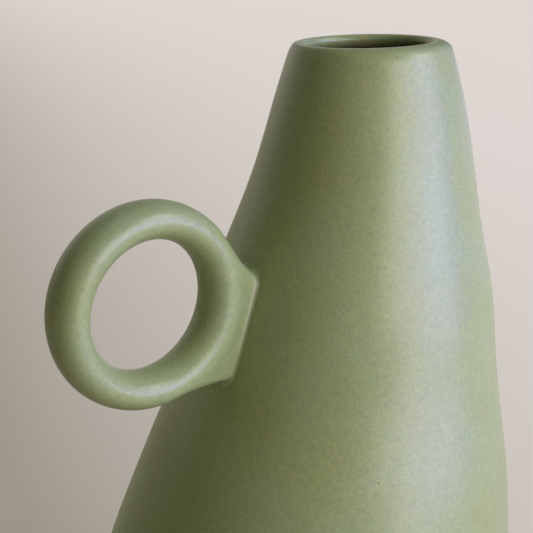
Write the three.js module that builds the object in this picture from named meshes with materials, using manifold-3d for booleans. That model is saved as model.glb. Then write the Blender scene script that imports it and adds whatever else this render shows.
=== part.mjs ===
// A bud vase of glazed stoneware: a pear-shaped hollow body that leans over its foot, with a small round
// mouth, and an oval-section ring stuck to one flank on a pad of slip and clay.
// Millimetres, +Z up. The origin is the centre of the flat foot. The ring lies in the plane Y = 0, on
// the -X side, and the body is the same on both sides of that plane.

import * as THREE from "three";
import { mergeVertices } from "three/addons/utils/BufferGeometryUtils.js";
import Module from "manifold-3d";

// Body
const BODY_HEIGHT = 195; // from the table to the crest of the lip
const BELLY_DIAMETER = 124; // of the widest level section
const BELLY_HEIGHT = 34; // of that section above the table
const HEEL_DIAMETER = 110; // where the belly turns in towards the foot
const HEEL_HEIGHT = 12;
const MOUTH_DIAMETER = 44; // outside, just under the rounding of the lip
const MOUTH_LEAN = 27; // how far the mouth's centre stands from the foot's, away from the ring
const WALL = 3.6; // square to the wall, and the lip is rounded over as thick
const FLOOR = 6; // from the table to the inside
const FLOOR_CORNER = 14; // how far up the wall, and in over the floor, the rounded inside corner reaches
const FOOT_DIAMETER = 90; // the flat, bare clay that the vase stands on
const FOOT_HEIGHT = 2; // the glaze starts this high, at a small step
const FOOT_STEP = 1.5; // how far the glazed body overhangs the foot

// Each level section of the body is a circle, and one smooth curve passes through these of its flank. They
// say how far up each lies from the belly to the mouth, how far in its radius has come from the belly's to
// the mouth's, and how far over its centre has leant of the mouth's lean.
const FLANK = [
  { up: 0, inward: 0, over: 0.021 }, // belly
  { up: 0.138, inward: 0.09, over: 0.118 },
  { up: 0.251, inward: 0.193, over: 0.281 },
  { up: 0.364, inward: 0.319, over: 0.428 }, // low hollow
  { up: 0.477, inward: 0.451, over: 0.599 },
  { up: 0.584, inward: 0.539, over: 0.704 }, // the swell that carries the ring
  { up: 0.691, inward: 0.666, over: 0.799 }, // waist
  { up: 0.804, inward: 0.791, over: 0.914 },
  { up: 0.917, inward: 0.903, over: 0.976 }, // neck
  { up: 1, inward: 1, over: 1 }, // mouth
];

// Ring
const RING_DIAMETER = 53; // outside
const RING_THICKNESS = 9.6; // of the tube, in the plane of the ring
const RING_WIDTH = 13.4; // of the tube, across the plane of the ring
const RING_SEAT_HEIGHT = 127.5; // where the ring comes nearest the wall
const RING_STAND_OFF = 2.1; // thickness of the slip there

// Saddle
const SADDLE_WIDTH = 11.2; // across the plane of the ring
const SADDLE_REACH_UP = 16; // along the wall, from where the ring is nearest to the hollow's foot above it
const SADDLE_REACH_DOWN = 21; // and to the hollow's foot below it
const JOINT_GAP = 0.3; // clearance between fired pieces that touch

// Fineness of the meshes
const BODY_SIDES = 64;
const OUTSIDE_ROWS = 26;
const INSIDE_ROWS = 16;
const LIP_STEPS = 6;
const CORNER_STEPS = 4;
const RING_SIDES = 48;
const TUBE_SIDES = 20;
const FILLET_STEPS = 6;
const ROW_CROWDING = 1.4; // above 1, the body's rows lie closer together at the heel
const WELD = 1e-4; // corners this near each other are one
const SLOPE_STEP = 0.01; // half the height over which a curve's slope is taken

const GLAZE_BODY = new THREE.MeshStandardMaterial({ color: 0x8f9a76, roughness: 0.45, metalness: 0 });
const GLAZE_RING = new THREE.MeshStandardMaterial({ color: 0x95a37f, roughness: 0.45, metalness: 0 });
const GLAZE_SADDLE = new THREE.MeshStandardMaterial({ color: 0x85906b, roughness: 0.5, metalness: 0 });

const wasm = await Module();
wasm.setup();

// The smooth curve through points of rising "at": a natural cubic spline, as a thin batten would lie.
function batten(points) {
  const last = points.length - 1;
  const bend = new Array(last + 1).fill(0);
  const carry = new Array(last + 1).fill(0);
  for (let i = 1; i < last; i++) {
    const below = points[i].at - points[i - 1].at;
    const above = points[i + 1].at - points[i].at;
    const rise = (points[i + 1].value - points[i].value) / above;
    const turn = rise - (points[i].value - points[i - 1].value) / below;
    const pivot = 2 * (below + above) - below * carry[i - 1];
    carry[i] = above / pivot;
    bend[i] = (6 * turn - below * bend[i - 1]) / pivot;
  }
  for (let i = last - 1; i > 0; i--) {
    bend[i] -= carry[i] * bend[i + 1];
  }
  return (at) => {
    let i = 0;
    while (i < last - 1 && at > points[i + 1].at) i++;
    const span = points[i + 1].at - points[i].at;
    const u = (at - points[i].at) / span;
    const v = 1 - u;
    const straight = v * points[i].value + u * points[i + 1].value;
    return straight + (((v ** 3 - v) * bend[i] + (u ** 3 - u) * bend[i + 1]) * span ** 2) / 6;
  };
}

const slopeOf = (curve, at) => (curve(at + SLOPE_STEP) - curve(at - SLOPE_STEP)) / (2 * SLOPE_STEP);

const lipBase = BODY_HEIGHT - WALL / 2;
const sections = [
  { height: FOOT_HEIGHT, lean: 0, radius: FOOT_DIAMETER / 2 + FOOT_STEP },
  { height: HEEL_HEIGHT, lean: 0, radius: HEEL_DIAMETER / 2 },
  ...FLANK.map(({ up, inward, over }) => ({
    height: BELLY_HEIGHT + up * (lipBase - BELLY_HEIGHT),
    lean: over * MOUTH_LEAN,
    radius: (BELLY_DIAMETER + inward * (MOUTH_DIAMETER - BELLY_DIAMETER)) / 2,
  })),
];
const leanAt = batten(sections.map((s) => ({ at: s.height, value: s.lean })));
const radiusAt = batten(sections.map((s) => ({ at: s.height, value: s.radius })));
const innerRadiusAt = (z) => radiusAt(z) - WALL * Math.hypot(1, slopeOf(radiusAt, z));

// Heights of the rows between two levels, closer together near the lower one, where the curve is tight.
function rowHeights(low, high, rows) {
  return Array.from({ length: rows + 1 }, (_, i) => low + (high - low) * (i / rows) ** ROW_CROWDING);
}

// Turns a profile of radius and height about the vertical, then leans each level over to its centre.
function leaningLathe(profile) {
  const shell = new THREE.LatheGeometry(profile, BODY_SIDES).rotateX(Math.PI / 2);
  const corner = shell.getAttribute("position");
  for (let i = 0; i < corner.count; i++) {
    corner.setX(i, corner.getX(i) + leanAt(Math.min(Math.max(corner.getZ(i), FOOT_HEIGHT), lipBase)));
  }
  return shell;
}

// The body's profile: across the foot, up the outside, over the lip, down the inside and in over the floor.
function bodyGeometry() {
  const foot = FOOT_DIAMETER / 2;
  const outside = rowHeights(FOOT_HEIGHT, lipBase, OUTSIDE_ROWS).map((z) => [radiusAt(z), z]);
  const lipOuter = radiusAt(lipBase);
  const lipInner = innerRadiusAt(lipBase);
  const lip = Array.from({ length: LIP_STEPS - 1 }, (_, i) => {
    const turn = (Math.PI * (i + 1)) / LIP_STEPS;
    const across = ((lipOuter - lipInner) / 2) * Math.cos(turn);
    return [(lipOuter + lipInner) / 2 + across, lipBase + (WALL / 2) * Math.sin(turn)];
  });
  const cornerTop = FLOOR + FLOOR_CORNER;
  const inside = rowHeights(cornerTop, lipBase, INSIDE_ROWS).map((z) => [innerRadiusAt(z), z]).reverse();
  const cornerX = innerRadiusAt(cornerTop) - slopeOf(innerRadiusAt, cornerTop) * FLOOR_CORNER;
  const corner = new THREE.QuadraticBezierCurve(
    new THREE.Vector2(innerRadiusAt(cornerTop), cornerTop),
    new THREE.Vector2(cornerX, FLOOR),
    new THREE.Vector2(cornerX - FLOOR_CORNER, FLOOR),
  );
  const profile = [
    [0, 0],
    [foot, 0],
    [foot, FOOT_HEIGHT],
    ...outside,
    ...lip,
    ...inside,
  ].map(([radius, height]) => new THREE.Vector2(radius, height));
  return leaningLathe([...profile, ...corner.getPoints(CORNER_STEPS).slice(1), new THREE.Vector2(0, FLOOR)]);
}

// The space the body fills with its wall grown by a gap, as a solid block without a hollow.
function bodyClearance(gap) {
  const outside = rowHeights(FOOT_HEIGHT, lipBase, OUTSIDE_ROWS);
  return leaningLathe([
    new THREE.Vector2(0, FOOT_HEIGHT),
    ...outside.map((z) => new THREE.Vector2(radiusAt(z) + gap, z)),
    new THREE.Vector2(0, lipBase),
  ]);
}

// The ring about its own centre, with its tube grown by a gap: an oval turned about the Y axis.
function ringGeometry(gap = 0) {
  const thick = RING_THICKNESS / 2;
  const middle = RING_DIAMETER / 2 - thick;
  const oval = Array.from({ length: TUBE_SIDES }, (_, i) => {
    const turn = (2 * Math.PI * i) / TUBE_SIDES;
    const out = middle + (thick + gap) * Math.cos(turn);
    return new THREE.Vector2(out, (RING_WIDTH / 2 + gap) * Math.sin(turn));
  });
  return new THREE.LatheGeometry([...oval, oval[0]], RING_SIDES);
}

function solidOf(geometry) {
  const bare = geometry.clone().deleteAttribute("normal").deleteAttribute("uv");
  const merged = mergeVertices(bare, WELD);
  return new wasm.Manifold(
    new wasm.Mesh({
      numProp: 3,
      vertProperties: merged.getAttribute("position").array,
      triVerts: new Uint32Array(merged.index.array),
    }),
  );
}

function geometryOf(solid) {
  const mesh = solid.getMesh();
  const geometry = new THREE.BufferGeometry();
  geometry.setAttribute("position", new THREE.BufferAttribute(mesh.vertProperties, 3));
  geometry.setIndex(new THREE.BufferAttribute(mesh.triVerts, 1));
  geometry.computeVertexNormals();
  return geometry;
}

// The handle's own frame stands on the wall where the ring comes nearest: its Z runs up along the wall,
// its -X points straight out of it, and its Y is the body's.
const handle = new THREE.Group();
const flankAt = (z) => leanAt(z) - radiusAt(z);
handle.position.set(flankAt(RING_SEAT_HEIGHT), 0, RING_SEAT_HEIGHT);
handle.rotation.y = Math.atan(slopeOf(flankAt, RING_SEAT_HEIGHT));
handle.updateMatrixWorld(true);
const ringStand = RING_STAND_OFF + RING_DIAMETER / 2;

// The saddle's side view: above and below the ring a round hollow rises from the wall and meets a circle
// halfway in through the near half of the tube, which the edge then follows. The hollow's radius is the
// one that touches both. What lies in the wall or in the ring is cut away.
function saddleGeometry() {
  const rim = RING_DIAMETER / 2 - RING_THICKNESS / 4;
  const hollowFor = (reach) => (reach ** 2 / (ringStand + rim) + ringStand - rim) / 2;
  const above = hollowFor(SADDLE_REACH_UP);
  const below = hollowFor(SADDLE_REACH_DOWN);
  const swingUp = Math.atan2(SADDLE_REACH_UP, ringStand - above);
  const swingDown = Math.atan2(SADDLE_REACH_DOWN, ringStand - below);
  const depth = WALL / 2;
  const side = new THREE.Shape();
  side.moveTo(depth, -SADDLE_REACH_DOWN);
  side.lineTo(depth, SADDLE_REACH_UP);
  side.lineTo(0, SADDLE_REACH_UP);
  side.absarc(-above, SADDLE_REACH_UP, above, 0, swingUp - Math.PI, true);
  side.absarc(-ringStand, 0, rim, swingUp, -swingDown, true);
  side.absarc(-below, -SADDLE_REACH_DOWN, below, Math.PI - swingDown, 0, true);
  const blank = new THREE.ExtrudeGeometry(side, {
    depth: SADDLE_WIDTH,
    bevelEnabled: false,
    curveSegments: FILLET_STEPS,
  });
  blank.translate(0, 0, -SADDLE_WIDTH / 2).rotateX(Math.PI / 2);
  const wall = bodyClearance(JOINT_GAP).applyMatrix4(handle.matrixWorld.clone().invert());
  const ring = ringGeometry(JOINT_GAP).translate(-ringStand, 0, 0);
  return geometryOf(solidOf(blank).subtract(solidOf(wall)).subtract(solidOf(ring)));
}

function piece(name, geometry, material) {
  const mesh = new THREE.Mesh(geometry, material);
  mesh.name = name;
  return mesh;
}

const vase = new THREE.Group();
vase.add(piece("vase_body", bodyGeometry(), GLAZE_BODY));
const ring = piece("ring_handle", ringGeometry(), GLAZE_RING);
ring.position.x = -ringStand;
handle.add(ring);
handle.add(piece("handle_saddle", saddleGeometry(), GLAZE_SADDLE));
vase.add(handle);

export default vase;
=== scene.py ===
"""A leaning stoneware bud vase with a ring handle: its glazed surfaces and studio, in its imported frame."""

import math

import bpy
import numpy as np
from mathutils import Matrix, Vector


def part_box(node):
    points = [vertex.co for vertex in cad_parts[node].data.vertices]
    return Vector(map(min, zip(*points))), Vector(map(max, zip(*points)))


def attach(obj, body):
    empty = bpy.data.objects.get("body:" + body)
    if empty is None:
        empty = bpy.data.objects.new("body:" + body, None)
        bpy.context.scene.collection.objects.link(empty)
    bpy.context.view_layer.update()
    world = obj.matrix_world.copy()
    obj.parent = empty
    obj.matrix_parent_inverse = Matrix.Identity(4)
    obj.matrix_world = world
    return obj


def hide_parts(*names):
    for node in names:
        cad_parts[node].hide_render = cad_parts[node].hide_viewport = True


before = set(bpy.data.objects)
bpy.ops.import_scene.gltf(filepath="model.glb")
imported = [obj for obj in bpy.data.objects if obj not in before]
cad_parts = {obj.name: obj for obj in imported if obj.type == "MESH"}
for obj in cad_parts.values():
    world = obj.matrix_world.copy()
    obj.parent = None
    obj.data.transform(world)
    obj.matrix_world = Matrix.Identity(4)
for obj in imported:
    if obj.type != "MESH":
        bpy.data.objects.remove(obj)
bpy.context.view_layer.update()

bl_info = {
    "name": "Ring Handle Bud Vase",
    "version": (1, 0, 0),
    "blender": (4, 5, 0),
    "location": "View3D > Sidebar > Vase",
    "description": "Throws a leaning stoneware bud vase, lutes its ring handle and sets its studio",
    "category": "Add Mesh",
}

MM = 0.001
BODY_LOW, BODY_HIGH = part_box("vase_body")
RING_LOW, RING_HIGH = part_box("ring_handle")
RING_CENTRE = (RING_LOW + RING_HIGH) / 2

# The body's level sections are circles, and a smooth curve passes through these of its flank. They say how
# far up each lies from the belly to the mouth, how far in its radius has come from the belly's to the
# mouth's, and how far over its centre has leant of the mouth's lean.
FLANK = np.array([
    (0, 0, 0.021),
    (0.138, 0.09, 0.118),
    (0.251, 0.193, 0.281),
    (0.364, 0.319, 0.428),
    (0.477, 0.451, 0.599),
    (0.584, 0.539, 0.704),
    (0.691, 0.666, 0.799),
    (0.804, 0.791, 0.914),
    (0.917, 0.903, 0.976),
    (1, 1, 1),
])

# The flat fans that close the underside and the inside floor are this wide from their middle.
FAN_RADIUS = 4 * MM

# The way from the middle of the mouth to the middle of the hole, seen from above, about one unit long.
HOLE_WAY = np.array([-0.79, 0.61])

# The glaze on the ring and the pad is this share of the way to the colour that it has in hollows.
HANDLE_POOLED = 0.12

# Noise can be anything from 0 to 1, but most of it lies between these.
MOST_NOISE = {"From Min": 0.3, "From Max": 0.7}


def linear(hex_colour):
    """An sRGB colour written as a hex number, as linear red, green and blue: each is a straight line near
    black and a power curve above that."""
    srgb = np.array([hex_colour >> 16 & 255, hex_colour >> 8 & 255, hex_colour & 255]) / 255
    return tuple(float(c) for c in np.where(srgb < 0.04045, srgb / 12.92, ((srgb + 0.055) / 1.055) ** 2.4))


def length(name, description, millimetres):
    """A property that holds a length."""
    return bpy.props.FloatProperty(
        name=name, description=description, default=millimetres * MM, min=0, unit="LENGTH", precision=5
    )


def tint(name, description, hex_colour):
    """A property that holds a colour."""
    return bpy.props.FloatVectorProperty(
        name=name, description=description, default=linear(hex_colour), subtype="COLOR", size=3, min=0, max=1
    )


def angle(name, description, degrees):
    """A property that holds an angle."""
    return bpy.props.FloatProperty(
        name=name, description=description, default=math.radians(degrees), min=0, subtype="ANGLE"
    )


def share(name, description, value, highest=1):
    """A property that holds a plain number from 0 up."""
    return bpy.props.FloatProperty(name=name, description=description, default=value, min=0, max=highest)


class VaseBodySizes(bpy.types.PropertyGroup):
    height: length("Height", "From the table to the crest of the lip", BODY_HIGH.z / MM)
    belly_diameter: length("Belly", "Diameter of the widest level section", (BODY_HIGH.y - BODY_LOW.y) / MM)
    belly_height: length("Belly height", "Height of the widest level section", 34)
    heel_diameter: length("Heel", "Diameter where the belly turns in towards the foot", 110)
    heel_height: length("Heel height", "Height of that turn", 12)
    mouth_diameter: length("Mouth", "Outside diameter just under the rounding of the lip", 44)
    mouth_lean: length("Lean", "How far the mouth's centre stands from the foot's", 27)
    wall: length("Wall", "Thickness of the wall", 3.6)
    lip_width: length("Lip", "The wall thickens to this at the mouth", 4.6)
    lip_crest: length("Lip crest", "How far in from the outside the lip is highest", 3.5)
    lip_reach: length("Lip reach", "How far below the lip the wall starts to thicken", 14)
    mouth_shift: length("Mouth shift", "How far the hole stands off the middle of the mouth", 1.1)
    mouth_wave: length("Mouth wave", "How far the rim rises and falls from level", 0.27)
    floor: length("Floor", "From the table to the inside", 6)
    floor_corner: length("Floor corner", "Reach of the rounded inside corner", 14)
    foot_diameter: length("Foot", "Diameter of the bare clay foot", 90)
    foot_height: length("Foot height", "Where the glaze starts", 2)
    foot_step: length("Foot step", "How far the glazed body overhangs the foot", 1.5)


class RingHandleSizes(bpy.types.PropertyGroup):
    diameter: length("Diameter", "Outside diameter of the ring", 53)
    thickness: length("Thickness", "Of the tube, in the plane of the ring", 9.6)
    width: length("Width", "Of the tube, across the plane of the ring", (RING_HIGH.y - RING_LOW.y) / MM)


class SaddleSizes(bpy.types.PropertyGroup):
    reach_up: length("Reach up", "From where the ring is nearest up to the foot of the hollow above it", 16.2)
    reach_down: length("Reach down", "From there down to the foot of the hollow below the ring", 20.2)
    half_width: length("Half width", "From the ring's plane to the crisp edge, at its widest", 5.6)
    taper: share("Taper", "How much narrower the pad is at its ends", 0.18)
    swing_up: angle("Swing up", "How far round the ring the pad climbs above its nearest point", 55)
    swing_down: angle("Swing down", "How far round the ring the pad climbs below it", 70)
    hug: angle("Hug", "How far round the tube, from its outermost line, the pad reaches at its sides", 78)
    hollow: share("Hollow", "How deep the ends are hollowed: at 1 they are half round", 0.6)
    edge_rise: length("Edge", "Height of the crisp edge above the wall", 1.05)
    skirt: length("Skirt", "How far the slip runs out over the wall past the crisp edge", 0.8)


class GlazeLook(bpy.types.PropertyGroup):
    sage: tint("Sage", "The glaze where it lies as usual", 0x95A16A)
    olive: tint("Olive", "The glaze where it lies a little thin", 0x959E64)
    celadon: tint("Celadon", "The glaze where it lies a little thick", 0x95A370)
    bare_edge: tint("Edge", "The glaze where it breaks over an edge and the clay shows through", 0xD3D3AC)
    # Pool serves both as glaze gathered in hollows and as painted shade under the pad's crisp edge and across
    # its web.
    pool: tint("Pool", "The glaze where it gathers in a hollow", 0x6A7A4A)
    # Inside is painted shade: the glaze is shown this dark deeper down the neck, where little light reaches.
    inner: tint("Inside", "The glaze inside, poured thin over the dark clay", 0x40381F)
    iron: tint("Iron", "The specks that iron in the clay burns through the glaze", 0x5A5234)
    clay: tint("Clay", "The bare stoneware of the foot", 0xC9B79C)
    roughness: share("Roughness", "Of the satin surface", 0.35)


class StudioLook(bpy.types.PropertyGroup):
    paper: tint("Board", "The pale board on the floor", 0xC8BE9A)
    backdrop: tint("Backdrop", "How the board towards the windows and the pale wall look", 0xF4EBE7)
    # Shade is painted shade on the board, full on the side away from the windows.
    shade: tint("Shade", "How the board looks away from the windows", 0xA69F92)
    dusk: tint("Dusk", "How the dim side of the room looks", 0x544F48)
    glow: tint("Glow", "Colour of the light from the room's walls", 0xFAFFD2)
    window_power: share("Windows", "Brightness of all the soft windows together", 1, 10)
    wall_glow: share("Wall", "Strength of the light from the pale wall behind", 1.68, 10)
    room_glow: share("Room", "Strength of the light from the dim side of the room", 0.02, 10)


def smooth_step(low, high, at):
    """Rises from 0 at low to 1 at high, level at both ends."""
    u = np.clip((at - low) / (high - low), 0, 1)
    return u * u * (3 - 2 * u)


def bell(at, middle, width):
    """The bell curve: 1 at the middle, and e times less at the width to either side of it."""
    return np.exp(-((at - middle) / width) ** 2)


def full_turn(steps):
    """Angles evenly spaced all the way round."""
    return np.linspace(0, 2 * math.pi, steps, endpoint=False)


def bezier(corners, steps):
    """Points, or rows of points, from the first corner to the last on the Bezier curve that the corners
    steer: neighbours are mixed in the ratio of the way along, and mixed again until one is left."""
    levels = list(np.array(corners, float))
    u = np.linspace(0, 1, steps + 1).reshape(-1, *[1] * levels[0].ndim)
    while len(levels) > 1:
        levels = [(1 - u) * a + u * b for a, b in zip(levels, levels[1:])]
    return levels[0]


def spline_through(knots, values, at):
    """The natural cubic spline: between two knots the value is the straight line between theirs plus a
    cubic whose second derivative runs straight from one knot's to the next's and is 0 at both ends."""
    step = np.diff(knots)
    system = np.diag(2 * (step[:-1] + step[1:])) + np.diag(step[1:-1], 1) + np.diag(step[1:-1], -1)
    bend = np.zeros(len(knots))
    bend[1:-1] = np.linalg.solve(system, 6 * np.diff(np.diff(values) / step))
    i = np.clip(np.searchsorted(knots, at) - 1, 0, len(step) - 1)
    u = (at - knots[i]) / step[i]
    v = 1 - u
    straight = v * values[i] + u * values[i + 1]
    return straight + ((v**3 - v) * bend[i] + (u**3 - u) * bend[i + 1]) * step[i] ** 2 / 6


def flank(sizes, height):
    """The x of the centre and the radius of the body's level section at each height, from the splines
    through those of the foot, the heel and the flank's points."""
    up, inward, over = FLANK.T
    lip_base = sizes.height - sizes.wall / 2
    knots = np.concatenate((
        [sizes.foot_height, sizes.heel_height],
        sizes.belly_height + up * (lip_base - sizes.belly_height),
    ))
    diameters = np.concatenate((
        [sizes.foot_diameter + 2 * sizes.foot_step, sizes.heel_diameter],
        sizes.belly_diameter + inward * (sizes.mouth_diameter - sizes.belly_diameter),
    ))
    leans = np.concatenate(([0, 0], over * sizes.mouth_lean))
    level = np.maximum(height, sizes.foot_height)
    return spline_through(knots, leans, level), spline_through(knots, diameters, level) / 2


def make_skin(name, rows, shades, materials, closed=False):
    """A mesh of quads between neighbouring rows of points, each row a closed loop. Either the last row
    joins the first, or each end closes with a fan round the middle of its row. Shades are attributes:
    one number for each point of the grid."""
    count, around = rows.shape[:2]
    corner = np.arange(count * around).reshape(count, around)
    if closed:
        corner = np.vstack((corner, corner[:1]))
    following = np.roll(corner, -1, axis=1)
    quads = np.stack((corner[:-1], following[:-1], following[1:], corner[1:]), axis=-1).reshape(-1, 4)
    points = rows.reshape(-1, 3)
    faces = quads.tolist()
    ends = [] if closed else [(0, following[0], corner[0]), (-1, corner[-1], following[-1])]
    for end, first, second in ends:
        pole = np.full(around, len(points))
        points = np.vstack((points, rows[end].mean(axis=0)))
        faces += np.stack((pole, first, second), axis=-1).tolist()
    mesh = bpy.data.meshes.new(name)
    mesh.from_pydata(points.tolist(), [], faces)
    for shade, values in shades.items():
        flat = np.concatenate((values.ravel(), [values[end].mean() for end, _, _ in ends]))
        mesh.attributes.new(shade, "FLOAT", "POINT").data.foreach_set("value", flat.astype(np.float32))
    for material in materials:
        mesh.materials.append(material)
    mesh.shade_smooth()
    mesh.update()
    piece = bpy.data.objects.new(name, mesh)
    bpy.context.scene.collection.objects.link(piece)
    return piece


def add_node(tree, kind, inputs=None, **settings):
    """Adds a node of a kind, sets it up, and gives each named input its value or its link."""
    made = tree.nodes.new(kind)
    for name, value in settings.items():
        setattr(made, name, value)
    for name, value in (inputs or {}).items():
        if isinstance(value, bpy.types.NodeSocket):
            tree.links.new(value, made.inputs[name])
        else:
            made.inputs[name].default_value = value
    return made


def per_metre(millimetres):
    """The scale at which a texture's features have that real size, on coordinates in metres."""
    return 1 / (millimetres * MM)


def satin_sage_glaze(look):
    """Satin matt magnesia glaze over stoneware, dipped and fired: a smooth, faintly waxy skin. To the eye
    it is soft sage green with cloudy drifts towards olive and celadon, a fine grain, a few pinholes and
    iron specks, a warm thin line where it breaks over an edge, and a broad blurred sheen."""
    material = bpy.data.materials.new("satin_sage_glaze")
    material.use_nodes = True
    tree = material.node_tree
    tree.nodes.clear()
    place = add_node(tree, "ShaderNodeTexCoord").outputs["Object"]
    thin = add_node(tree, "ShaderNodeAttribute", attribute_name="thin").outputs["Fac"]
    pooled_and_shade = add_node(tree, "ShaderNodeAttribute", attribute_name="pooled_and_shade").outputs["Fac"]
    inner = add_node(tree, "ShaderNodeAttribute", attribute_name="inner").outputs["Fac"]

    # The glaze lies now thinner and now thicker in drifts of about 22 mm.
    cloud = add_node(tree, "ShaderNodeTexNoise", {
        "Vector": place, "Scale": per_metre(22), "Detail": 2.0, "Roughness": 0.5,
    })
    drift = add_node(tree, "ShaderNodeValToRGB", {"Fac": cloud.outputs["Fac"]})
    thinnest, thickest = drift.color_ramp.elements
    thinnest.position, thinnest.color = 0.32, (*look.olive, 1)
    thickest.position, thickest.color = 0.68, (*look.celadon, 1)
    drift.color_ramp.elements.new(0.5).color = (*look.sage, 1)

    # Crystals in the glaze tint it in flecks of 1 to 2 mm, each a little towards another colour, and make
    # it a little lighter or darker. The range is for red, green and blue.
    crystals = add_node(tree, "ShaderNodeTexNoise", {
        "Vector": place, "Scale": per_metre(1.5), "Detail": 3.0, "Roughness": 0.65,
    })
    fleck_range = np.array([0.25, 0.2, 0.46])
    flecks = add_node(tree, "ShaderNodeVectorMath", {
        0: crystals.outputs["Color"], 1: fleck_range, 2: 1 - fleck_range / 2,
    }, operation="MULTIPLY_ADD")
    flecked = add_node(tree, "ShaderNodeVectorMath", {
        0: drift.outputs["Color"], 1: flecks.outputs["Vector"],
    }, operation="MULTIPLY")
    fleck_tone = add_node(tree, "ShaderNodeMapRange", {
        "Value": crystals.outputs["Fac"], **MOST_NOISE, "To Min": 0.93, "To Max": 1.07,
    })
    # Fired grain is about 0.2 mm, and is drawn at 0.4 mm so that it shows in the render.
    grain = add_node(tree, "ShaderNodeTexNoise", {
        "Vector": place, "Scale": per_metre(0.4), "Detail": 1.0, "Roughness": 0.6,
    })
    grain_tone = add_node(tree, "ShaderNodeMapRange", {
        "Value": grain.outputs["Fac"], **MOST_NOISE, "To Min": 0.89, "To Max": 1.11,
    })
    tone = add_node(tree, "ShaderNodeMath", {
        0: grain_tone.outputs["Result"], 1: fleck_tone.outputs["Result"],
    }, operation="MULTIPLY")
    grained = add_node(tree, "ShaderNodeVectorMath", {
        0: flecked.outputs["Vector"], "Scale": tone.outputs["Value"],
    }, operation="SCALE")

    # Voronoi cells are about 5 mm across, and one holds a pinhole where its own random number is high. A
    # pinhole is dark to 0.15 mm from its middle and has faded out at 0.28 mm.
    cells = add_node(tree, "ShaderNodeTexVoronoi", {"Vector": place, "Scale": per_metre(5)})
    lot = add_node(tree, "ShaderNodeSeparateColor", {"Color": cells.outputs["Color"]})
    chosen = add_node(tree, "ShaderNodeMath", {0: lot.outputs["Red"], 1: 0.7}, operation="GREATER_THAN")
    speck_edge = add_node(tree, "ShaderNodeMapRange", {
        "Value": cells.outputs["Distance"],
        "From Min": 0.03, "From Max": 0.055, "To Min": 0.85, "To Max": 0.0,
    })
    speck = add_node(tree, "ShaderNodeMath", {
        0: chosen.outputs["Value"], 1: speck_edge.outputs["Result"],
    }, operation="MULTIPLY")

    # Each of these covers the colour before it where its own share is high. The pool colour is partly painted
    # shade, and the inner one is painted shade deeper down the neck.
    colour = grained.outputs["Vector"]
    for covered, cover in (
        (speck.outputs["Value"], look.iron), (thin, look.bare_edge), (pooled_and_shade, look.pool), (inner, look.inner),
    ):
        colour = add_node(tree, "ShaderNodeMix", {
            "Factor": covered, "A": colour, "B": (*cover, 1),
        }, data_type="RGBA").outputs["Result"]

    roughness = add_node(tree, "ShaderNodeMapRange", {
        "Value": grain.outputs["Fac"], "To Min": look.roughness - 0.03, "To Max": look.roughness + 0.03,
    })
    # The glaze has a faint orange peel of 2 to 3 mm, finer bumps at its grains and a pit at each pinhole.
    orange_peel = add_node(tree, "ShaderNodeTexNoise", {
        "Vector": place, "Scale": per_metre(2.2), "Detail": 2.0, "Roughness": 0.55,
    })
    peel_bump = add_node(tree, "ShaderNodeBump", {
        "Height": orange_peel.outputs["Fac"], "Strength": 0.25, "Distance": 0.018 * MM,
    })
    grain_bump = add_node(tree, "ShaderNodeBump", {
        "Height": grain.outputs["Fac"], "Strength": 0.3, "Distance": 0.004 * MM,
        "Normal": peel_bump.outputs["Normal"],
    })
    pit_bump = add_node(tree, "ShaderNodeBump", {
        "Height": speck.outputs["Value"], "Strength": 0.6, "Distance": 0.1 * MM,
        "Normal": grain_bump.outputs["Normal"],
    }, invert=True)
    shader = add_node(tree, "ShaderNodeBsdfPrincipled", {
        "Base Color": colour, "Roughness": roughness.outputs["Result"],
        "Normal": pit_bump.outputs["Normal"], "IOR": 1.5,
    })
    add_node(tree, "ShaderNodeOutputMaterial", {"Surface": shader.outputs["BSDF"]})
    return material


def bare_stoneware(look):
    """Unglazed stoneware, ground flat and fired: dry, matt and fine as biscuit. To the eye it is warm buff
    with darker grains of grog, 0.6 mm across."""
    material = bpy.data.materials.new("bare_stoneware")
    material.use_nodes = True
    tree = material.node_tree
    tree.nodes.clear()
    place = add_node(tree, "ShaderNodeTexCoord").outputs["Object"]
    grog = add_node(tree, "ShaderNodeTexNoise", {
        "Vector": place, "Scale": per_metre(0.6), "Detail": 3.0, "Roughness": 0.7,
    })
    tone = add_node(tree, "ShaderNodeMapRange", {
        "Value": grog.outputs["Fac"], **MOST_NOISE, "To Min": 0.84, "To Max": 1.06,
    })
    clay = add_node(tree, "ShaderNodeVectorMath", {
        0: look.clay, "Scale": tone.outputs["Result"],
    }, operation="SCALE")
    bump = add_node(tree, "ShaderNodeBump", {
        "Height": grog.outputs["Fac"], "Strength": 0.5, "Distance": 0.08 * MM,
    })
    shader = add_node(tree, "ShaderNodeBsdfPrincipled", {
        "Base Color": clay.outputs["Vector"], "Roughness": 0.85, "Normal": bump.outputs["Normal"],
    })
    add_node(tree, "ShaderNodeOutputMaterial", {"Surface": shader.outputs["BSDF"]})
    return material


def the_material(maker, look):
    """The material that a maker function makes, made once."""
    return bpy.data.materials.get(maker.__name__) or maker(look)


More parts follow.
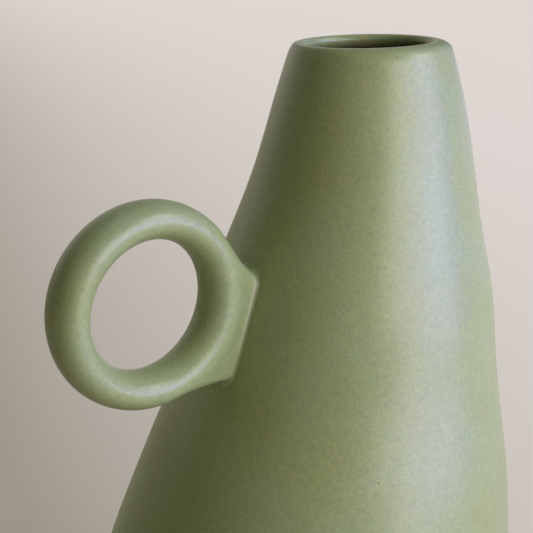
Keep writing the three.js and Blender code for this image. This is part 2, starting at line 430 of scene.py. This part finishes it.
def foot_profile(sizes, start):
    """Radius and height of the underside: a shallow dish, its slope down to the flat rim that stands on the
    table, the rim's rounded edge, the bare side, and the rolled edge of the glaze up to the start of the
    flank. With them, how many points from the first on are bare."""
    foot = sizes.foot_diameter / 2
    rim_width, slope_width, dish, rounding = 7 * MM, 2 * MM, 0.5 * MM, 0.5 * MM
    rim = foot - rim_width
    inside = np.linspace((FAN_RADIUS, dish), (rim - slope_width, dish), 10)
    slope = bezier([
        (rim - slope_width, dish), (rim - slope_width / 2, dish), (rim - slope_width / 2, 0), (rim, 0),
    ], steps=8)
    edge = bezier([(foot - rounding, 0), (foot, 0), (foot, rounding)], steps=6)
    bare = np.vstack((inside, slope[1:], edge))
    glaze_edge = sizes.foot_height - 0.1 * MM
    bulge, run_in = 0.9 * MM, (0.45 * MM, 0.42 * MM)
    roll = bezier([(foot, glaze_edge), (foot + bulge, glaze_edge), start - run_in, start], steps=10)
    return np.vstack((bare, roll)), len(bare)


def body_profile(sizes):
    """Radius and height all along the body's cut wall: the foot, the flank up to the lip, the lip as one
    wide curve up to its crest and one tight curve down, the inside a wall's thickness behind, and the
    rounded floor. With them, how many points from the first on are bare, which point is the crest, and for
    each point how much of the mouth it is, from 0 on the flank to 1."""
    lip_base = sizes.height - sizes.wall / 2
    small = 0.01 * MM

    def steepness(height):
        """How fast the radius grows with height: its change over a small step there."""
        return (flank(sizes, height + small)[1] - flank(sizes, height - small)[1]) / (2 * small)

    def inner(height):
        """The radius inside: the outside's less the wall, which is measured square to the flank."""
        thickened = smooth_step(lip_base - sizes.lip_reach, lip_base, height)
        wall = sizes.wall + (sizes.lip_width - sizes.wall) * thickened
        return flank(sizes, height)[1] - wall * np.hypot(1, steepness(height))

    # The rows lie a little closer together low down, where the flank bends most.
    lip_start = sizes.height - 3.2 * MM
    flank_start = sizes.foot_height + 0.6 * MM
    climb = np.linspace(0, 1, 165) ** 1.15
    outside_height = flank_start + (lip_start - flank_start) * climb
    outside = np.stack((flank(sizes, outside_height)[1], outside_height), axis=-1)

    # These lengths steer the lip's two curves: on up the flank, level to each side of the crest, and up
    # from the inside.
    from_flank, out_from_crest, in_from_crest, from_inside = 2.3 * MM, 1.9 * MM, 0.8 * MM, 0.9 * MM
    crest = np.array([flank(sizes, lip_base)[1] - sizes.lip_crest, sizes.height])
    shoulder = outside[-1] + np.array([steepness(lip_start), 1]) * from_flank
    over = bezier([outside[-1], shoulder, crest + (out_from_crest, 0), crest], steps=30)
    lip_end = sizes.height - 1.6 * MM
    inner_edge = np.array([inner(lip_end), lip_end])
    down = bezier([crest, crest - (in_from_crest, 0), inner_edge + (0, from_inside), inner_edge], steps=14)
    lip = np.vstack((over[1:], down[1:]))

    corner_top = sizes.floor + sizes.floor_corner
    inside_height = np.linspace(lip_end, corner_top, 84)[1:]
    inside = np.stack((inner(inside_height), inside_height), axis=-1)
    # The corner's middle point lies straight on down the inside, at the height of the floor.
    inside_slope = (inner(corner_top + small) - inner(corner_top)) / small
    corner_radius = inner(corner_top) - inside_slope * sizes.floor_corner
    corner = bezier([
        (inner(corner_top), corner_top), (corner_radius, sizes.floor),
        (corner_radius - sizes.floor_corner, sizes.floor),
    ], steps=12)
    floor = np.linspace(corner[-1], (FAN_RADIUS, sizes.floor), 6)

    foot, bare_rows = foot_profile(sizes, outside[0])
    profile = np.vstack((foot, outside[1:], lip, inside, corner[1:], floor[1:]))
    crest_row = len(foot) + len(outside) - 1 + len(over) - 2
    radius, height = profile.T
    # Outside, the mouth begins at the lip. Inside, the hole leads back to the middle over 45 mm.
    come_in = flank(sizes, np.minimum(height, lip_base))[1] - radius
    outer = smooth_step(0, sizes.lip_crest, come_in) * (height > lip_start)
    behind = smooth_step(lip_base - 45 * MM, lip_base, height)
    mouth = np.where(np.arange(len(profile)) <= crest_row, outer, behind)
    return profile, bare_rows, crest_row, mouth


class VASE_OT_make_body(bpy.types.Operator):
    """Makes the hollow body: a profile turned about the vertical, each level leant over to its centre"""
    bl_idname = "vase.make_body"
    bl_label = "Body"

    def execute(self, context):
        sizes, look = context.scene.vase_body, context.scene.vase_glaze
        profile, bare_rows, crest_row, mouth = body_profile(sizes)
        turn = full_turn(240)
        radius, height = profile[:, :1], profile[:, 1:]
        centre = flank(sizes, np.minimum(height, sizes.height - sizes.wall / 2))[0]
        # The potter's trimming left the hole a little off the middle and the rim not quite level: it is
        # lowest a quarter turn clockwise of the way to the hole, and highest opposite.
        shift = HOLE_WAY * sizes.mouth_shift
        wave = -sizes.mouth_wave * (HOLE_WAY[1] * np.cos(turn) - HOLE_WAY[0] * np.sin(turn))
        rows = np.stack((
            centre + radius * np.cos(turn) + shift[0] * mouth[:, None],
            radius * np.sin(turn) + shift[1] * mouth[:, None],
            height + wave * mouth[:, None],
        ), axis=-1)
        # The glaze is thin along the crest of the lip and just above its lower edge. Inside it is darkened
        # with painted shade, which sets in from 0.9 to 3.6 mm below the crest. The bands are a few rows wide.
        row = np.arange(len(profile))
        edges = 0.6 * bell(row, crest_row, 3.5) + 0.7 * bell(row, bare_rows + 5, 5)
        thin = edges[:, None] + 0 * turn
        deep = smooth_step(0.9 * MM, 3.6 * MM, sizes.height - height) * (row > crest_row)[:, None]
        body = make_skin(
            "stoneware_body", rows, {"thin": thin, "pooled_and_shade": 0 * thin, "inner": deep + 0 * turn},
            [the_material(satin_sage_glaze, look), the_material(bare_stoneware, look)],
        )
        # The faces are in the order of the rows, then the fan of the underside, then that of the floor.
        faces = body.data.polygons
        bare = np.zeros(len(faces), np.int32)
        bare[: (bare_rows - 1) * len(turn)] = 1
        bare[(len(profile) - 1) * len(turn) : len(profile) * len(turn)] = 1
        faces.foreach_set("material_index", bare)
        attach(body, "root")
        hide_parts("vase_body")
        return {"FINISHED"}


class HandleSeat:
    """Where the handle sits: the point of the flank nearest the ring's centre, with an axis square out of
    the wall there and one up along it. Points are given as up the wall, across it and out of it."""

    def __init__(self, sizes):
        self.sizes = sizes
        # The heights tried are less than 0.005 mm apart.
        height = np.linspace(BODY_LOW.z + sizes.foot_height, BODY_HIGH.z - sizes.wall, 40001)
        centre, radius = flank(sizes, height)
        gap = np.hypot(centre - radius - RING_CENTRE.x, height - RING_CENTRE.z)
        nearest = gap.argmin()
        self.foot = np.array([(centre - radius)[nearest], 0, height[nearest]])
        self.stand = gap[nearest]
        self.out = (np.array(RING_CENTRE) - self.foot) * (1, 0, 1) / self.stand
        self.up = np.array([self.out[2], 0, -self.out[0]])
        self.up *= np.sign(self.up[2])

    def world(self, up, across, out):
        """The points in the frame's own axes."""
        return (
            self.foot + up[..., None] * self.up + out[..., None] * self.out
            + across[..., None] * np.array([0, 1, 0])
        )

    def wall(self, up, across):
        """How far the wall's surface stands out at each place. It is found in six steps: each measures how
        far off the wall the point lies along X, and moves it back by the part of that along the out axis."""
        out = 0 * up
        for _ in range(6):
            point = self.world(up, across, out)
            centre, radius = flank(self.sizes, point[..., 2])
            outside = centre - point[..., 0] - np.sqrt(radius**2 - across**2)
            out = out - outside * abs(self.out[0])
        return out


def ring_point(ring, stand, along, around, shrink=0):
    """A point of the ring: along is the angle at its centre from the wall, and around the angle at the
    middle of its oval tube from the side away from the centre. Shrink is how far it lies inside the tube's
    surface. Given as up, across and out."""
    thick = ring.thickness / 2
    from_centre = ring.diameter / 2 - thick + (thick - shrink) * np.cos(around)
    return (
        from_centre * np.sin(along),
        (ring.width / 2 - shrink) * np.sin(around),
        stand - from_centre * np.cos(along),
    )


class VASE_OT_make_ring(bpy.types.Operator):
    """Makes the ring: an oval carried round a circle that stands square to the wall"""
    bl_idname = "vase.make_ring"
    bl_label = "Ring handle"

    def execute(self, context):
        ring, look = context.scene.vase_ring, context.scene.vase_glaze
        seat = HandleSeat(context.scene.vase_body)
        along, around = np.meshgrid(full_turn(300), full_turn(96), indexing="ij")
        rows = seat.world(*ring_point(ring, seat.stand, along, around))
        none = np.zeros(rows.shape[:2])
        piece = make_skin(
            "oval_ring_handle", rows, {"thin": none, "pooled_and_shade": none + HANDLE_POOLED, "inner": none},
            [the_material(satin_sage_glaze, look)], closed=True,
        )
        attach(piece, "root")
        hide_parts("ring_handle")
        return {"FINISHED"}


def rounded_loop(side_steps, corner_steps):
    """A rectangle's outline with round corners. For each point: the direction that it faces, and where the
    centre of its corner is, from -1 to 1 each way. Along a side the centre goes from corner to corner. The
    side steps are those of the two ends and those of the two long sides."""
    quarter = math.pi / 2
    facing, up, across = [], [], []
    starts = [(1, -1), (1, 1), (-1, 1), (-1, -1)]
    for i, (here, there) in enumerate(zip(starts, starts[1:] + starts[:1])):
        line = np.linspace(0, 1, side_steps[i % 2], endpoint=False)
        facing.append(np.full(len(line), i * quarter))
        up.append(here[0] + (there[0] - here[0]) * line)
        across.append(here[1] + (there[1] - here[1]) * line)
        bend = np.linspace(0, 1, corner_steps, endpoint=False)
        facing.append((i + bend) * quarter)
        up.append(np.full(len(bend), float(there[0])))
        across.append(np.full(len(bend), float(there[1])))
    return np.concatenate(facing), np.concatenate(up), np.concatenate(across)


def saddle_skin(pad, ring, seat):
    """Rows of points of the slip pad, from inside the wall to inside the tube, and for each point how thin
    its glaze is and how much it is darkened by gathered glaze and painted shade. Each row is the same rounded
    loop, first on the wall and last on the tube.
    Between them the sides rise in three curves, the ends in one hollow curve, and the corners mix both."""
    facing, centre_up, centre_across = rounded_loop(side_steps=(24, 90), corner_steps=24)
    end_share = np.cos(facing) ** 2
    reach = (pad.reach_up + pad.reach_down) / 2
    drop = (pad.reach_down - pad.reach_up) / 2

    def outline(half_up, half_across, corner):
        """The loop on the wall, drawn in towards both ends by the square of the way there."""
        up = (half_up - corner) * centre_up + corner * np.cos(facing)
        across = (half_across - corner) * centre_across + corner * np.sin(facing)
        return up - drop, across * (1 - pad.taper * (up / half_up) ** 2)

    def on_wall(up, across, rise):
        """The points that stand that far out of the wall at these places on it."""
        return np.stack((up, across, seat.wall(up, across) + rise), axis=-1)

    def on_tube(scale, shrink):
        """The loop on the tube: up is the angle round the ring and across the angle round its tube. The
        corners round off a share of each half."""
        corner = 0.35
        along = scale * ((1 - corner) * centre_up + corner * np.cos(facing))
        turn_up = (pad.swing_up - pad.swing_down) / 2 + (pad.swing_up + pad.swing_down) / 2 * along
        turn_round = pad.hug * scale * ((1 - corner) * centre_across + corner * np.sin(facing))
        return np.stack(ring_point(ring, seat.stand, turn_up, turn_round, shrink), axis=-1)

    # The crisp edge ends short of the foot of each hollow and has tighter corners than the skirt. The
    # groove lies just inside it, about half as high.
    skirt_corner, edge_corner, edge_short = 4.6 * MM, 3.4 * MM, 2.6 * MM
    groove_in, groove_height = 0.13 * MM, 0.55 * pad.edge_rise
    skirt = on_wall(*outline(reach, pad.half_width + pad.skirt, skirt_corner), 0)
    groove = on_wall(*outline(reach - edge_short, pad.half_width - groove_in, edge_corner), groove_height)
    edge = on_wall(*outline(reach - edge_short, pad.half_width, edge_corner), pad.edge_rise)
    tube = on_tube(1, 0)

    # Leave is the way in which the loop on the tube grows, and the pad's surface meets the tube along it.
    leave = tube - on_tube(0.97, 0)
    leave = leave / np.linalg.norm(leave, axis=-1, keepdims=True)
    inward = np.stack((-np.cos(facing), -np.sin(facing), 0 * facing), axis=-1)
    # The fillet rises upright to the groove. The web's first steering point is a share of the way straight
    # to the tube, and its last lies a short pull out from it.
    set_off, pull = 0.35, 1.6 * MM
    below_groove = groove * (1, 1, 0) + skirt * (0, 0, 1)
    fillet = bezier([skirt, below_groove, groove], steps=14)
    step_up = bezier([groove, edge], steps=5)[1:]
    web = bezier([edge, edge + (tube - edge) * set_off, tube - leave * pull, tube], steps=23)[1:]
    side = np.concatenate((fillet, step_up, web))
    # Two thirds of the gap would make the end about half round.
    hold = pad.hollow * 2 / 3 * np.linalg.norm(tube - skirt, axis=-1, keepdims=True)
    end = bezier([skirt, skirt + inward * hold, tube - leave * hold, tube], steps=len(side) - 1)
    shown = side * (1 - end_share[:, None]) + end * end_share[:, None]

    # The hidden rows close the pad a little way inside the wall and inside the tube. They widen from the
    # middle, and the last one in the wall reaches a little past the skirt.
    in_wall, in_tube, tuck, tuck_in_wall, tuck_corner = 0.15 * MM, 0.25 * MM, 0.3 * MM, 0.1 * MM, 3 * MM
    buried_wall = [on_wall(*(skirt[:, :2] * scale).T, -in_wall) for scale in (0.1, 0.4, 0.7, 1.0)]
    tucked = outline(reach + tuck, pad.half_width + pad.skirt + tuck, tuck_corner)
    buried_wall.append(on_wall(*tucked, -tuck_in_wall))
    buried_tube = [on_tube(scale, in_tube) for scale in (0.98, 0.7, 0.4, 0.1)]
    rows = np.concatenate((buried_wall, shown, buried_tube))

    # The glaze breaks over the crisp edge along the sides, less so low down, where the slip was wiped
    # soft. It pools under the edge, where painted shade also darkens it, and painted shade darkens the middle
    # of the web.
    order = np.arange(len(rows))[:, None] - len(buried_wall)
    groove_row, edge_row = len(fillet) - 1, len(fillet) + len(step_up) - 1
    sides_only = (1 - end_share) ** 2
    crisp = 0.25 + 0.75 * smooth_step(-0.95, 0.4, centre_up)
    thin = 0.9 * bell(order, edge_row, 2.1) * sides_only * crisp
    # Painted shade: darker under the crisp edge, where glaze also gathers, and across the middle of the web.
    pool_and_shade_under_edge = 0.6 * bell(order, groove_row - 3, 7)
    shade_on_web = 0.3 * bell(order, edge_row + len(web) / 2, 6) * sides_only
    return rows, thin, pool_and_shade_under_edge + shade_on_web + HANDLE_POOLED


class VASE_OT_make_saddle(bpy.types.Operator):
    """Makes the slip pad between ring and wall: at its sides a web runs from the tube's widest line down to
    a crisp edge and a small skirt of slip, and at its ends it is hollowed between wall and tube"""
    bl_idname = "vase.make_saddle"
    bl_label = "Saddle"

    def execute(self, context):
        scene = context.scene
        seat = HandleSeat(scene.vase_body)
        rows, thin, pooled_and_shade = saddle_skin(scene.vase_saddle, scene.vase_ring, seat)
        piece = make_skin(
            "slip_saddle", seat.world(*np.moveaxis(rows, -1, 0)),
            {"thin": thin, "pooled_and_shade": pooled_and_shade, "inner": 0 * thin},
            [the_material(satin_sage_glaze, scene.vase_glaze)],
        )
        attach(piece, "root")
        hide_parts("handle_saddle")
        return {"FINISHED"}


def rays_that_look(tree):
    """1 for a ray from the camera, off a mirroring surface or through a clear one, and 0 for other rays."""
    path = add_node(tree, "ShaderNodeLightPath").outputs
    straight = add_node(tree, "ShaderNodeMath", {
        0: path["Is Camera Ray"], 1: path["Is Glossy Ray"],
    }, operation="MAXIMUM")
    return add_node(tree, "ShaderNodeMath", {
        0: straight.outputs["Value"], 1: path["Is Transmission Ray"],
    }, operation="MAXIMUM").outputs["Value"]


def pale_floor(studio):
    """Matt white board: pale, with a faint tooth, and painted shade that darkens it away from the windows."""
    material = bpy.data.materials.new("matt_white_board")
    material.use_nodes = True
    tree = material.node_tree
    tree.nodes.clear()
    place = add_node(tree, "ShaderNodeTexCoord").outputs["Object"]
    tooth = add_node(tree, "ShaderNodeTexNoise", {"Vector": place, "Scale": per_metre(3), "Detail": 2.0})
    bump = add_node(tree, "ShaderNodeBump", {
        "Height": tooth.outputs["Fac"], "Strength": 0.1, "Distance": 0.1 * MM,
    })
    board = add_node(tree, "ShaderNodeBsdfPrincipled", {
        "Base Color": (*studio.paper, 1), "Roughness": 0.9, "Normal": bump.outputs["Normal"],
    })
    # Where it is looked at or mirrored, the board mostly shows its own pale colour. The rest of what shows
    # is lit by the lamps and carries the vase's shadow. Its own colour carries painted shade: it is all shade
    # away from the windows, and towards them the painted shade dies away by the same share with every step:
    # it is e to a power that is -0.28 at the foot and falls by 4.13 for each metre along +X.
    towards_windows, fading, offset, own_colour = (1, -0.29, 0), -4.13, -0.28, 0.8
    towards = add_node(tree, "ShaderNodeVectorMath", {0: place, 1: towards_windows}, operation="DOT_PRODUCT")
    power = add_node(tree, "ShaderNodeMath", {
        0: towards.outputs["Value"], 1: fading, 2: offset,
    }, operation="MULTIPLY_ADD")
    painted_dimness = add_node(tree, "ShaderNodeMath", {
        0: power.outputs["Value"],
    }, operation="EXPONENT", use_clamp=True)
    paleness = add_node(tree, "ShaderNodeMix", {
        "Factor": painted_dimness.outputs["Value"], "A": (*studio.backdrop, 1), "B": (*studio.shade, 1),
    }, data_type="RGBA")
    shown = add_node(tree, "ShaderNodeEmission", {"Color": paleness.outputs["Result"], "Strength": 1.0})
    mixing = add_node(tree, "ShaderNodeMath", {0: rays_that_look(tree), 1: own_colour}, operation="MULTIPLY")
    surface = add_node(tree, "ShaderNodeMixShader", {
        "Fac": mixing.outputs["Value"], 1: board.outputs["BSDF"], 2: shown.outputs["Emission"],
    })
    add_node(tree, "ShaderNodeOutputMaterial", {"Surface": surface.outputs["Shader"]})
    return material


def the_room(studio):
    """The room's own light: a pale wall behind, and next to none from the other sides. It looks as pale as
    the board towards that wall and dusky elsewhere."""
    world = bpy.data.worlds.new("room")
    world.use_nodes = True
    tree = world.node_tree
    tree.nodes.clear()
    direction = add_node(tree, "ShaderNodeTexCoord").outputs["Generated"]
    # How near a direction is to the wall's is the cosine between them, or 0 past a right angle, to a power
    # that says how narrow the wall is.
    to_wall, narrowness = (0.05, 1, 0), 4.0
    cosine = add_node(tree, "ShaderNodeVectorMath", {0: direction, 1: to_wall}, operation="DOT_PRODUCT")
    facing = add_node(tree, "ShaderNodeMath", {0: cosine.outputs["Value"], 1: 0.0}, operation="MAXIMUM")
    nearness = add_node(tree, "ShaderNodeMath", {
        0: facing.outputs["Value"], 1: narrowness,
    }, operation="POWER")
    strength = add_node(tree, "ShaderNodeMapRange", {
        "Value": nearness.outputs["Value"], "To Min": studio.room_glow, "To Max": studio.wall_glow,
    })
    glow = add_node(tree, "ShaderNodeBackground", {
        "Color": (*studio.glow, 1), "Strength": strength.outputs["Result"],
    })
    look = add_node(tree, "ShaderNodeMix", {
        "Factor": nearness.outputs["Value"], "A": (*studio.dusk, 1), "B": (*studio.backdrop, 1),
    }, data_type="RGBA")
    seen = add_node(tree, "ShaderNodeBackground", {"Color": look.outputs["Result"]})
    both = add_node(tree, "ShaderNodeMixShader", {
        "Fac": rays_that_look(tree), 1: glow.outputs["Background"], 2: seen.outputs["Background"],
    })
    add_node(tree, "ShaderNodeOutputWorld", {"Surface": both.outputs["Shader"]})
    return world


def add_window(name, turn, width, sill, head, strength, hex_colour):
    """A soft upright lamp a fixed way off that faces the vase: its middle is turned that many degrees from
    -Y towards +X, and it is that many degrees wide, from its sill to its head. Its strength is 1 where a
    white surface that it fills the view of would just be white."""
    away = 0.9
    way = math.radians(turn)
    lamp = bpy.data.lights.new(name, "AREA")
    lamp.shape = "RECTANGLE"
    lamp.size, lamp.size_y = 2 * away * math.tan(math.radians(width / 2)), head - sill
    lamp.energy = strength * math.pi * lamp.size * lamp.size_y
    lamp.color = linear(hex_colour)
    pane = bpy.data.objects.new(name, lamp)
    pane.location = (away * math.sin(way), -away * math.cos(way), (sill + head) / 2)
    pane.rotation_euler = (math.pi / 2, 0, way)
    pane.visible_camera = False
    bpy.context.scene.collection.objects.link(pane)


def add_camera():
    """The camera: it stands on the ring's side, turned from -Y, looks down on the vase and is rolled a
    little. Its picture is 533 pixels wide, and its lens stands 1024 of them off."""
    azimuth, down, roll = math.radians(-37.9), math.radians(18.87), math.radians(1.52)
    stand = Vector((-168.8, -203.4, 227.4)) * MM
    back = Vector((math.sin(azimuth) * math.cos(down), -math.cos(azimuth) * math.cos(down), math.sin(down)))
    right = Vector((math.cos(azimuth), math.sin(azimuth), 0))
    up = back.cross(right)
    turned = Matrix((
        math.cos(roll) * right - math.sin(roll) * up, math.sin(roll) * right + math.cos(roll) * up, back,
    )).transposed()
    lens = bpy.data.cameras.new("camera")
    lens.sensor_width = 36
    lens.lens = lens.sensor_width * 1024 / 533
    lens.clip_start, lens.clip_end = 0.01, 100
    camera = bpy.data.objects.new("camera", lens)
    camera.matrix_world = Matrix.Translation(stand) @ turned.to_4x4()
    bpy.context.scene.collection.objects.link(camera)
    bpy.context.scene.camera = camera


class VASE_OT_set_stage(bpy.types.Operator):
    """Lays the pale floor and sets the soft lamps, the room's light and the camera"""
    bl_idname = "vase.set_stage"
    bl_label = "Stage"

    def execute(self, context):
        scene = context.scene
        studio = scene.vase_studio
        # The board reaches 30 m each way, so that it fills the camera's picture, and lies a hair below the
        # foot.
        half = 30
        board = bpy.data.meshes.new("floor")
        board.from_pydata([(-half, -half, 0), (half, -half, 0), (half, half, 0), (-half, half, 0)], [],
                          [(0, 1, 2, 3)])
        board.materials.append(pale_floor(studio))
        floor = bpy.data.objects.new("floor", board)
        floor.location.z = -0.05 * MM
        scene.collection.objects.link(floor)
        # Degrees turned and wide, metres from sill to head, strength and colour.
        for name, turn, width, sill, head, strength, hex_colour in (
            ("front_left_window", -10, 12, 0.33, 0.7, 6.4, 0xFFF9E7),
            ("front_window", 5, 18, 0.01, 0.7, 5.5, 0xFAECFF),
            ("main_window", 29, 30, 0.01, 0.7, 7.8, 0xC2C2FF),
            ("side_window", 50, 12, 0.01, 0.7, 3.8, 0x4820FF),
            ("high_window", 44, 24, 0.7, 1.15, 9.8, 0xE8F7FF),
            ("far_window", 86, 60, 0.01, 1.15, 0.6, 0x6C72FF),
        ):
            add_window(name, turn, width, sill, head, strength * studio.window_power, hex_colour)
        scene.world = the_room(studio)
        add_camera()
        scene.view_settings.view_transform = "Standard"
        return {"FINISHED"}


class VASE_PT_panel(bpy.types.Panel):
    """Lists the vase's pieces and its studio"""
    bl_idname = "VASE_PT_panel"
    bl_label = "Bud vase"
    bl_space_type = "VIEW_3D"
    bl_region_type = "UI"
    bl_category = "Vase"

    def draw(self, context):
        for maker in MAKERS:
            self.layout.operator(maker.bl_idname)
        for group in SETTINGS:
            column = self.layout.column()
            for name in SETTINGS[group].__annotations__:
                column.prop(getattr(context.scene, group), name)


SETTINGS = {
    "vase_body": VaseBodySizes,
    "vase_ring": RingHandleSizes,
    "vase_saddle": SaddleSizes,
    "vase_glaze": GlazeLook,
    "vase_studio": StudioLook,
}
MAKERS = (VASE_OT_make_body, VASE_OT_make_ring, VASE_OT_make_saddle, VASE_OT_set_stage)
CLASSES = (*SETTINGS.values(), *MAKERS, VASE_PT_panel)


def register():
    for cls in CLASSES:
        bpy.utils.register_class(cls)
    for name, group in SETTINGS.items():
        setattr(bpy.types.Scene, name, bpy.props.PointerProperty(type=group))


def unregister():
    for name in SETTINGS:
        delattr(bpy.types.Scene, name)
    for cls in reversed(CLASSES):
        bpy.utils.unregister_class(cls)


def main():
    register()
    bpy.ops.vase.make_body()
    bpy.ops.vase.make_ring()
    bpy.ops.vase.make_saddle()
    bpy.ops.vase.set_stage()


if __name__ == "__main__":
    main()
